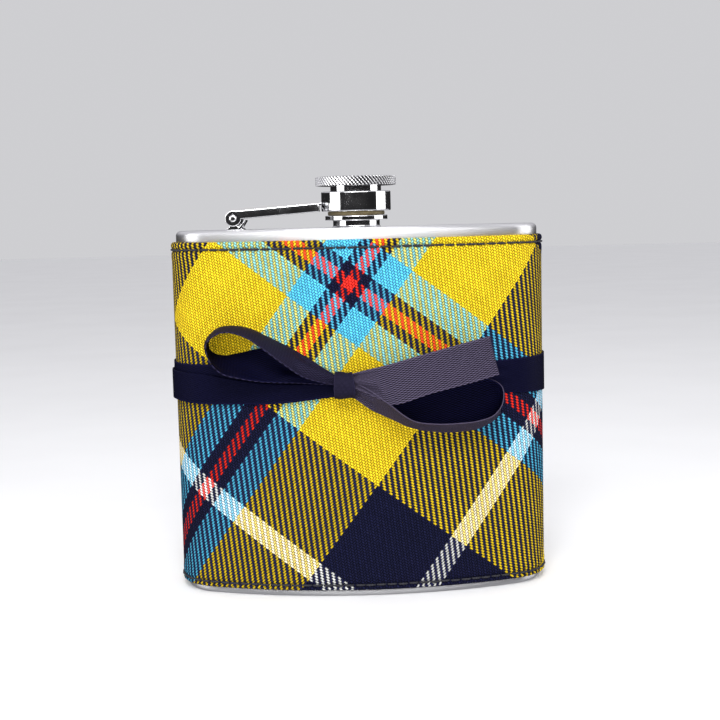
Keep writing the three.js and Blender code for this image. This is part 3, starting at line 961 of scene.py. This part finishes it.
STITCH_PITCH = 2.7
STITCH_LENGTH = 2.5
THREAD_RADIUS = 0.27
TOP_STITCHES = SLEEVE_TOP - 1.95
BOTTOM_STITCHES = SLEEVE_BOTTOM + 1.35
SEAM_AT = GIRTH / 2


def hump(offset, centre, width):
    return math.exp(-((offset - centre) / width) ** 2)


def hollows(along, height):
    """How far the cloth stands off: soft waves, a puffed hem, and dips under the stitches."""
    turn = 2 * math.pi * along / GIRTH
    offset = 0.05 * math.sin(6 * turn + 0.05 * height)
    offset += 0.04 * math.sin(11 * turn + 1.7) * math.cos(height / 13)
    needle = 0.5 + 0.5 * math.cos(2 * math.pi * along / STITCH_PITCH)
    for line, outward in ((TOP_STITCHES, 1.0), (BOTTOM_STITCHES, -1.0)):
        beyond = (height - line) * outward
        offset -= (0.26 + 0.16 * needle) * hump(beyond, 0.0, 0.42)
        offset += 0.17 * hump(beyond, 1.0, 0.55) + 0.10 * hump(beyond, -1.5, 1.0)
    from_seam = abs(abs(along) - SEAM_AT)
    return offset - 0.35 * hump(from_seam, 0.0, 0.45) + 0.16 * hump(from_seam, 1.6, 1.0)


def sleeve_profile():
    """(distance, height, length along the cloth) up the outside, over the fold, and down the inside."""
    outer, inner = SLEEVE_OUTSIDE, HEM_INSIDE + 0.05
    fold = (outer - inner) / 2
    low, high = SLEEVE_BOTTOM + fold, SLEEVE_TOP - fold

    def over(height, start, end):
        turns = [math.radians(angle) for angle in range(start, end, 15)]
        middle = (outer + inner) / 2
        return [(middle + fold * math.cos(turn), height + fold * math.sin(turn)) for turn in turns]

    near_hem, fine, coarse = 4.0, 0.22, 1.3
    path = []
    height = low
    while height < high:
        path.append((outer, height))
        height += fine if min(height - low, high - height) < near_hem else coarse
    path += [(outer, high)] + over(high, 15, 181)
    path += [(inner, high - 0.3), (SLEEVE_INSIDE, high - 0.5), (SLEEVE_INSIDE, high - 1.0)]
    path += [(SLEEVE_INSIDE, low + (high - low) * share) for share in (0.75, 0.5, 0.25)]
    path += [(SLEEVE_INSIDE, low + 1.0), (SLEEVE_INSIDE, low + 0.5), (inner, low + 0.3)]
    path += over(low, 180, 346)
    lengths = [low]
    for before, after in zip(path, path[1:] + path[:1]):
        lengths.append(lengths[-1] + math.dist(before, after))
    round_once = lengths[-1] - low
    hidden_cut = len(path) - 16  # where the map's lengths start again, on the inside
    return [
        (*spot, length - (round_once if i > hidden_cut else 0.0))
        for i, (spot, length) in enumerate(zip(path, lengths))
    ]


def sleeve():
    profile = sleeve_profile()
    stations = alongs(0.6)
    rings = []
    for along in stations:
        ring = []
        for distance, height, _ in profile:
            outside = max(0.0, (distance - HEM_INSIDE) / (SLEEVE_OUTSIDE - HEM_INSIDE))
            ring.append(place(along, distance + outside ** 2 * hollows(along, height), height))
        rings.append(ring)
    made = raw_object("sleeve_cloth", *skin(rings, joined_ends=True))
    mesh = made.data
    layer = mesh.uv_layers.new(name="cloth")
    size = len(profile)
    for polygon in mesh.polygons:
        wraps = {0, len(stations) - 1} <= {corner // size for corner in polygon.vertices}
        for corner in polygon.loop_indices:
            column, level = divmod(mesh.loops[corner].vertex_index, size)
            along = stations[column] + (GIRTH if wraps and column == 0 else 0)
            layer.data[corner].uv = (along * MM, profile[level][2] * MM)
    return made


def flat_mapped(made):
    """Maps a thin upright piece by its x and z."""
    return mapped(made, [(vertex.co.x, vertex.co.z) for vertex in made.data.vertices])


def hem_outline(bottom, top):
    inner, outer = HEM_INSIDE + 0.05, SLEEVE_INSIDE - 0.1
    return rounded([(outer, bottom), (outer, top), (inner, top), (inner, bottom)], 0.15, 2)


def hem(name, bottom, top):
    """A ring of cloth that is turned in behind the sleeve."""
    return flat_mapped(mesh_object(name, *round_flask(hem_outline(bottom, top), 1.0)))


def seam_allowance():
    """The two ends of the cloth, turned in behind the middle of the back."""
    half, gap, steps = 5.0, 0.15, 12
    outline = hem_outline(SLEEVE_BOTTOM + HEM_DEPTH + 0.1, SLEEVE_TOP - HEM_DEPTH - 0.1)
    parts = []
    for start, end in ((-half, -gap), (gap, half)):
        ways = [SEAM_AT + start + (end - start) * step / steps for step in range(steps + 1)]
        parts.append(tube([[place(along, *spot) for spot in outline] for along in ways]))
    return flat_mapped(mesh_object("seam_allowance", *joined(*parts)))


def stitch(along, height, length):
    """One stitch: a thread that lies on the cloth and dives into it at both ends."""
    sides, steps = 8, 8
    angles = [2 * math.pi * side / sides for side in range(sides)]
    rings = []
    for step in range(steps + 1):
        share = 2 * step / steps - 1
        out = 0.10 - 0.34 * abs(share) ** 3
        thick = THREAD_RADIUS * (1 - 0.35 * abs(share) ** 4)
        here = along + share * length / 2
        rings.append([
            on_sleeve(here, out + thick * math.cos(angle), height + thick * math.sin(angle))
            for angle in angles
        ])
    return tube(rings)


def stitch_line(name, height):
    """Stitches all round, each a little different."""
    chance = random.Random(SEED)
    count = round(GIRTH / STITCH_PITCH)
    parts = []
    for i in range(count):
        along = GIRTH * (i + 0.5) / count + chance.uniform(-0.1, 0.1)
        lift = chance.uniform(-0.06, 0.06)
        parts.append(stitch(along, height + lift, STITCH_LENGTH * chance.uniform(0.94, 1.04)))
    return flat_mapped(mesh_object(name, *joined(*parts)))


# ---- Ribbon ----

FOLDS_BELOW = 0.85  # share of the ribbon's width


def folded_strip(name, stations, folds, deepest, belly=0.0, steps=160, across=20, doubled=False):
    """A ribbon between two edge lines. Each station is (along, out, height) of one edge, then of the other.

    Where the edges come much closer than the ribbon's width, the ribbon falls into folds as deep
    as that asks, up to a limit. Belly bows it between its edges. A doubled ribbon is folded
    lengthwise instead: it turns back behind itself at the first edge.
    """
    line = smooth_line(stations, steps)
    first = np.array([on_sleeve(*row[:3]) for row in line])
    width_way = np.array([on_sleeve(*row[3:]) for row in line]) - first
    middle = first + width_way / 2
    runs = np.concatenate([[0], np.cumsum(np.linalg.norm(np.diff(middle, axis=0), axis=1))])
    normal = np.cross(np.gradient(middle, axis=0), width_way)
    normal /= np.linalg.norm(normal, axis=1)[:, None]
    rings = []
    for start, way, out, run in zip(first, width_way, normal, runs):
        width = np.linalg.norm(way)
        drift = 0.6 * math.sin(run / 6)
        slack = math.sqrt(max(0.0, (FOLDS_BELOW * RIBBON_WIDTH) ** 2 - width ** 2)) / folds / 2
        ring = []
        for share in (j / across for j in range(across + 1)):
            if doubled:
                ring.append(start + doubled_place(share, width, way / width, out))
                continue
            wave = math.sin(math.pi * folds * share + drift)
            wave *= min(1.0, 6 * share, 6 * (1 - share))
            bow = belly * math.sin(math.pi * share)
            ring.append(start + way * share + out * (min(slack, deepest) * wave + bow))
        rings.append(ring)
    spots = [(RIBBON_WIDTH * MM * j / across, run * MM) for run in runs for j in range(across + 1)]
    return thickened(name, *skin(rings, closed_rings=False), spots), runs[-1]


def doubled_place(share, width, down, outward):
    """Across a ribbon folded lengthwise: up behind, over the fold at the first edge, down in front."""
    front = width / RIBBON_WIDTH
    if share > 1 - front:
        return down * width * (share - 1 + front) / front
    fold = 0.32
    from_fold = (1 - front - share) * RIBBON_WIDTH
    back = math.pi * min(1.0, from_fold / fold)
    behind = min(width, from_fold) - 0.4 * fold * math.sin(back)
    return down * behind - outward * fold * math.sin(back / 2)


def thickened(name, points, faces, spots):
    """A sheet with a real thickness and a cloth map, its back shifted on the map."""
    made = mapped(raw_object(name, points, faces), spots)
    solid = made.modifiers.new("thickness", "SOLIDIFY")
    solid.thickness = RIBBON_THICKNESS * MM
    solid.offset = 0
    solid.use_even_offset = False
    baked(made)
    layer = made.data.uv_layers["cloth"]
    for polygon in made.data.polygons[len(faces):2 * len(faces)]:
        for corner in polygon.loop_indices:
            layer.data[corner].uv.x += BACK_SHIFT * MM
    return made


def left_loop():
    """Out over the band, up round an open end that stands off the sleeve, and back to the knot."""
    return folded_strip("bow_loop_left", [
        (-5.6, 1.2, 55.9, -5.6, 1.6, 54.2), (-8.5, 0.9, 57.6, -8.5, 2.2, 54.4),
        (-14.8, 0.6, 61.0, -14.5, 3.6, 55.0), (-24.4, 0.4, 63.2, -23.2, 5.8, 55.6),
        (-29.8, 0.4, 62.2, -27.8, 8.0, 56.7), (-34.3, 0.4, 61.5, -31.8, 9.3, 58.1),
        (-37.6, 0.4, 62.4, -34.2, 10.0, 61.1), (-38.3, 0.5, 64.6, -35.0, 10.0, 65.0),
        (-35.9, 0.6, 68.0, -32.4, 10.0, 67.6), (-31.6, 0.8, 68.9, -29.3, 10.0, 68.1),
        (-27.0, 1.0, 68.2, -25.4, 10.0, 66.8), (-23.0, 1.2, 66.4, -21.8, 10.2, 64.2),
        (-18.0, 1.5, 64.0, -17.5, 9.8, 60.6), (-13.1, 2.0, 61.2, -13.2, 8.4, 57.2),
        (-9.1, 2.6, 58.6, -9.6, 6.4, 55.6), (-5.6, 3.0, 56.4, -5.6, 4.2, 54.4),
    ], folds=3, deepest=0.6, belly=-0.6)


def right_loop():
    """Out and down in front, standing off the sleeve, round the end, and back flat along the sleeve."""
    return folded_strip("bow_loop_right", [
        (-3.2, 3.6, 55.2, -3.2, 2.4, 51.8), (-1.0, 5.4, 54.8, -1.2, 2.4, 50.6),
        (1.9, 7.8, 53.4, 2.2, 2.0, 48.0), (5.5, 9.8, 50.7, 7.2, 1.5, 45.4),
        (11.0, 10.2, 46.2, 12.2, 0.9, 42.9), (16.2, 9.8, 45.0, 18.0, 0.6, 41.6),
        (21.2, 9.6, 44.8, 23.8, 0.5, 41.2), (26.6, 9.4, 45.1, 29.2, 0.5, 41.7),
        (30.4, 9.0, 46.3, 32.9, 0.5, 43.1), (32.6, 8.4, 48.9, 34.9, 0.5, 44.6),
        (33.4, 6.6, 52.4, 35.1, 0.6, 44.6), (31.4, 3.2, 54.4, 32.0, 0.9, 43.4),
        (22.4, 1.5, 53.4, 22.2, 0.9, 43.0), (14.5, 1.3, 53.6, 13.6, 0.9, 43.8),
        (7.1, 1.3, 54.2, 6.5, 1.0, 46.6), (0.0, 1.5, 54.8, 0.0, 1.4, 50.6),
        (-3.6, 1.5, 54.8, -3.6, 1.4, 52.0),
    ], folds=3, deepest=0.5, belly=0.3)


def right_tail():
    """A flat end that crosses the right loop, cut square."""
    return folded_strip("bow_tail_right", [
        (-4.2, 3.2, 56.2, -4.2, 4.2, 54.2), (-2.8, 4.0, 56.9, -2.6, 5.2, 54.0),
        (-0.6, 5.2, 57.7, 0.2, 6.9, 53.2), (2.3, 6.2, 58.5, 3.4, 8.2, 51.6),
        (5.5, 7.2, 59.4, 6.7, 8.9, 50.0), (13.6, 8.2, 61.7, 15.8, 9.6, 52.5),
        (23.1, 8.4, 64.1, 25.4, 9.6, 54.7), (29.8, 8.0, 65.6, 31.6, 9.0, 56.1),
    ], folds=3, deepest=0.6, belly=0.25, steps=110)


def left_tail():
    """The short end, folded lengthwise, that lies on the band behind the left loop."""
    return folded_strip("bow_tail_left", [
        (-5.6, 1.3, 54.6, -5.6, 1.5, 51.4), (-12.4, 1.1, 54.4, -12.4, 1.1, 50.5),
        (-18.0, 1.1, 54.4, -18.0, 1.0, 49.8), (-23.4, 1.0, 54.6, -23.4, 0.9, 49.4),
        (-30.4, 0.9, 55.3, -30.4, 0.9, 49.3), (-38.6, 0.9, 56.6, -38.8, 0.9, 49.2),
        (-42.0, 0.9, 56.9, -42.6, 0.9, 49.3), (-50.0, 0.9, 57.1, -50.0, 0.9, 49.8),
        (-62.0, 0.9, 57.2, -62.0, 0.9, 49.9),
    ], folds=1, deepest=0.0, steps=110, across=40, doubled=True)


def band():
    """Once round the flask, gathered where it runs into the knot."""
    near = [
        (-5.0, 51.9, 55.4), (-9.0, 51.2, 56.0), (-14.0, 50.5, 57.0), (-20.0, 49.7, 58.0),
        (-28.0, 49.3, 58.9), (-42.0, 49.3, 59.2), (-47.0, 50.0, 59.2), (-60.0, 49.8, 59.5),
    ]
    rear = [(along, 49.4, 59.3) for along in (-80.0, -100.0, -121.0, -142.0, -160.0)]
    far = [
        (44.0 - GIRTH, 49.9, 58.9), (36.0 - GIRTH, 50.2, 58.6), (22.0 - GIRTH, 49.6, 58.8),
        (12.0 - GIRTH, 50.2, 57.8), (5.0 - GIRTH, 51.2, 56.6), (-2.0 - GIRTH, 52.0, 55.4),
        (-4.5 - GIRTH, 52.2, 55.2),
    ]
    stations = [(along, 0.35, top, along, 0.35, bottom) for along, bottom, top in near + rear + far]
    return folded_strip("ribbon_round_flask", stations, folds=5, deepest=0.18, steps=420)


def knot():
    """The ribbon's turn over the middle of the bow, pulled into soft folds."""
    route = [
        (-6.0, -2.4, 0.6, 56.4), (-6.1, -2.2, 2.8, 57.4), (-6.2, -2.0, 4.9, 57.2),
        (-6.3, -1.7, 6.1, 56.0), (-6.4, -1.5, 6.5, 54.3), (-6.4, -1.4, 6.2, 52.6),
        (-6.4, -1.4, 5.0, 51.4), (-6.4, -1.6, 2.6, 51.0), (-6.4, -1.6, 0.6, 51.3),
    ]
    stations = [(right, out, height, left, out - 0.9, height) for left, right, out, height in route]
    return folded_strip("bow_knot", stations, folds=2, deepest=0.16, belly=0.1, steps=70, across=36)


# ---- Stage ----

def make_camera():
    """A viewpoint a little above the middle, turned and tipped by small angles."""
    data = bpy.data.cameras.new("camera")
    data.sensor_width = 36
    data.lens = 64.89
    data.shift_y = -0.01275
    data.clip_start = 0.01
    made = bpy.data.objects.new("camera", data)
    bpy.context.scene.collection.objects.link(made)
    yaw, pitch, roll = -0.0142, 0.1054, -0.024
    turn = Matrix.Rotation(yaw, 4, "Z") @ Matrix.Rotation(math.pi / 2 - pitch, 4, "X")
    turn = turn @ Matrix.Rotation(roll, 4, "Z")
    made.matrix_world = Matrix.Translation((-0.004573, -0.329861, 0.095912)) @ turn
    bpy.context.scene.camera = made


def soft_light(name, azimuth, elevation, reach, size, power, on_cloth=True, on_metal=True):
    """An area light that faces the flask. Azimuth is measured from the front, to the right."""
    data = bpy.data.lights.new(name, "AREA")
    data.shape = "RECTANGLE"
    data.size, data.size_y = size
    data.energy = power
    made = bpy.data.objects.new(name, data)
    bpy.context.scene.collection.objects.link(made)
    made.visible_diffuse = on_cloth
    made.visible_glossy = on_metal
    turn = Matrix.Rotation(math.radians(azimuth), 4, "Z")
    turn = turn @ Matrix.Rotation(math.radians(90 - elevation), 4, "X")
    target = Matrix.Translation((0, 0, 0.055))
    made.matrix_world = target @ turn @ Matrix.Translation((0, 0, reach))


def make_world():
    """A pale room for the eye and for soft fill, and a darker one for what the metal mirrors."""
    world = bpy.data.worlds.new("studio")
    bpy.context.scene.world = world
    world.use_nodes = True
    nodes = Nodes(world.node_tree)
    nodes.tree.nodes.clear()
    direction = nodes.add("SeparateXYZ", nodes.add("TexCoord").outputs["Generated"])
    upward = nodes.math("MULTIPLY_ADD", direction.outputs[2], 0.5, 0.5)
    levels = [(0.0, 0.45), (0.33, 0.4), (0.39, 0.02), (0.555, 0.02), (0.63, 0.6), (0.75, 1.0), (1.0, 0.8)]
    stops = [(start, (0.97 * level, 0.96 * level, 1.02 * level)) for start, level in levels]
    mirrored = nodes.add("LightPath").outputs["Is Glossy Ray"]
    room = nodes.mix(mirrored, (0.62, 0.62, 0.64), nodes.ramp(upward, stops))
    nodes.add("OutputWorld", nodes.add("Background", room).outputs[0])


def make_stage():
    reach = 3000
    corners = [(-reach, -reach, 0), (reach, -reach, 0), (reach, reach, 0), (-reach, reach, 0)]
    floor = mesh_object("floor", corners, [(0, 1, 2, 3)])
    floor.data.materials.append(floor_paint())
    floor.visible_glossy = False
    soft_light("key", -4, 38, 0.7, (0.26, 0.2), 3.3)
    soft_light("front_fill", 0, 5, 0.7, (0.4, 0.2), 1.7, on_metal=False)
    soft_light("top_light", 0, 68, 0.7, (0.5, 0.3), 1.2)
    soft_light("front_panel", 0, 22, 0.7, (1.1, 0.2), 4.4, on_cloth=False)
    soft_light("left_panel", -75, 8, 0.42, (0.30, 0.34), 0.9, on_cloth=False)
    soft_light("right_panel", 91, 8, 0.42, (0.32, 0.34), 0.9, on_cloth=False)
    make_world()


# ---- Assembly ----

def build_steel():
    brushed = (brushed_steel(), "brushed_steel")
    polished = (polished_steel(), "polished_steel")
    knurled = (knurled_steel(), "polished_steel")
    rubber = (cream_rubber(), "gasket")
    piece(body_tube(), *brushed, "flask", "body_shell")
    top = end_plate("steel_top", BODY_HEIGHT, 1, SPIGOT_RADIUS + 0.1)
    piece(top, *brushed, "flask", "top_plate")
    piece(end_plate("steel_base", 0, -1, 0.0), *brushed, "flask", "bottom_plate")
    piece(spout(), *polished, "flask", "spout")
    piece(gasket(), *rubber, "flask", "spout_gasket")
    piece(hinge_bracket(), *polished, "flask", "hinge_bracket")
    piece(hinge_pin(), *polished, "flask", "hinge_pin")
    piece(hinge_arm(), *polished, "arm", "hinge_arm")
    piece(tongue(), *polished, "arm", "hinge_arm")
    piece(collar(), *polished, "arm", "captive_collar")
    piece(barrel(), *polished, "cap", "cap_barrel")
    piece(knob(), *knurled, "cap", "cap_knob")
    piece(seal(), *rubber, "lift", "cap_seal")


def build_sleeve():
    cloth = piece(sleeve(), tartan(), "tartan", "flask", "fabric_sleeve")
    lining = (plain_cloth("dark_lining", (0.03, 0.03, 0.05), 0.5), "lining", "flask")
    thread = (sewing_thread(), "thread", "flask")
    fold = (SLEEVE_OUTSIDE - HEM_INSIDE) / 2 + 0.4
    top_hem = hem("hem_top", SLEEVE_TOP - HEM_DEPTH, SLEEVE_TOP - fold)
    bottom_hem = hem("hem_bottom", SLEEVE_BOTTOM + fold, SLEEVE_BOTTOM + HEM_DEPTH)
    extras = [
        piece(top_hem, *lining, "top_hem"),
        piece(bottom_hem, *lining, "bottom_hem"),
        piece(seam_allowance(), *lining, "back_seam"),
        piece(stitch_line("stitches_top", TOP_STITCHES), *thread, "top_stitching"),
        piece(stitch_line("stitches_bottom", BOTTOM_STITCHES), *thread, "bottom_stitching"),
    ]


def build_ribbon():
    dark = (0.0025, 0.0025, 0.013)
    satin = ribbon_satin("ribbon_satin", (0.004, 0.0037, 0.0165), dark, 0.5, 0.3)
    turned_over = ribbon_satin("ribbon_two_sided", (0.011, 0.0095, 0.022), dark, 0.55, 1.4)
    ribbed = ribbon_satin("ribbon_ribbed", (0.037, 0.031, 0.052), dark, 0.66, 1.5)
    tied = piece(knot()[0], turned_over, "ribbon", "flask", "ribbon_knot")
    strips = [
        (band(), satin, "ribbon_band", "stretched", "sleeve_cloth", [tied]),
        (left_tail(), satin, "ribbon_tail_left", "laid", "ribbon_round_flask", []),
        (left_loop(), turned_over, "ribbon_loop_left", "folded", "ribbon_round_flask", []),
        (right_loop(), ribbed, "ribbon_loop_right", "folded", "sleeve_cloth", []),
        (right_tail(), ribbed, "ribbon_tail_right", "laid", "bow_loop_right", []),
    ]
    for (made, length), material, node, held, under, extras in strips:
        piece(made, material, "ribbon", "flask", node)
        flat = (RIBBON_WIDTH * MM, length * MM)


make_camera()
make_stage()
build_steel()
build_sleeve()
build_ribbon()
bpy.context.scene.view_settings.view_transform = "Standard"
